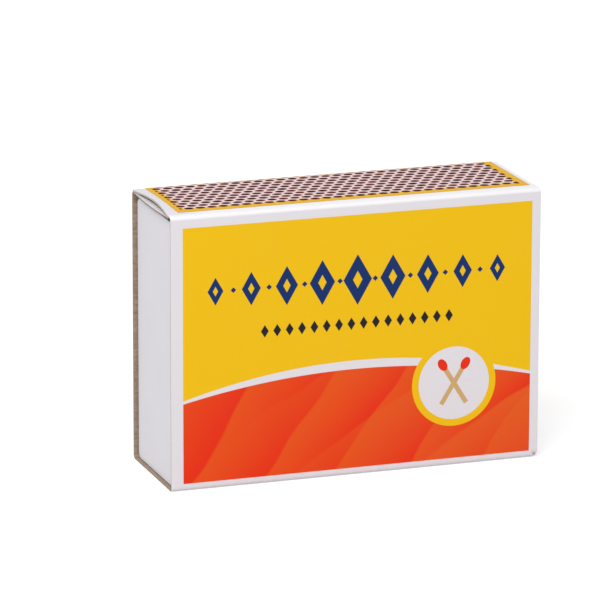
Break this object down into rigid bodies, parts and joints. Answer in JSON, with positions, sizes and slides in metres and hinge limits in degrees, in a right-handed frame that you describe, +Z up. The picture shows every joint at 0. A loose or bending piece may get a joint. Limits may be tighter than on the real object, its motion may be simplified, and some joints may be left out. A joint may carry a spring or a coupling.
{
  "type": "matchbox",
  "caption": "Card matchbox with a folded sleeve, a striking surface on one narrow side, and a sliding tray full of wooden matches.",
  "frame": {"origin": "middle of the underside, the narrow side that the box stands on", "axes": "+X along the tray's slide, away from the match heads; +Y from the label to the back; +Z up"},
  "size_m": [0.066, 0.0216, 0.0479],
  "materials": {
    "coated_card": "satin",
    "striking_coat": "matte",
    "tray_card": "matte",
    "match_wood": "matte"
  },
  "bodies": {
    "sleeve": {"sleeve": "coated_card", "striking_coat": "striking_coat"},
    "tray": {"tray": "tray_card", "match_01": "match_wood", "match_02": "match_wood", "match_03": "match_wood", "match_04": "match_wood", "match_05": "match_wood", "match_06": "match_wood", "match_07": "match_wood", "match_08": "match_wood", "match_09": "match_wood", "match_10": "match_wood", "match_11": "match_wood", "match_12": "match_wood", "match_13": "match_wood", "match_14": "match_wood", "match_15": "match_wood", "match_16": "match_wood", "match_17": "match_wood", "match_18": "match_wood", "match_19": "match_wood", "match_20": "match_wood", "match_21": "match_wood", "match_22": "match_wood", "match_23": "match_wood", "match_24": "match_wood", "match_25": "match_wood", "match_26": "match_wood", "match_27": "match_wood", "match_28": "match_wood", "match_29": "match_wood", "match_30": "match_wood", "match_31": "match_wood", "match_32": "match_wood", "match_33": "match_wood", "match_34": "match_wood", "match_35": "match_wood", "match_36": "match_wood", "match_37": "match_wood", "match_38": "match_wood", "match_39": "match_wood", "match_40": "match_wood", "match_41": "match_wood", "match_42": "match_wood", "match_43": "match_wood", "match_44": "match_wood", "match_45": "match_wood", "match_46": "match_wood", "match_47": "match_wood", "match_48": "match_wood", "match_49": "match_wood", "match_50": "match_wood", "match_51": "match_wood", "match_52": "match_wood", "match_53": "match_wood", "match_54": "match_wood", "match_55": "match_wood", "match_56": "match_wood", "matches_below": "match_wood"}
  },
  "joints": [
    {"name": "tray_slide", "type": "slide", "parent": "sleeve", "child": "tray", "axis": [1, 0, 0], "range_m": [-0.045, 0.045]}
  ]
}
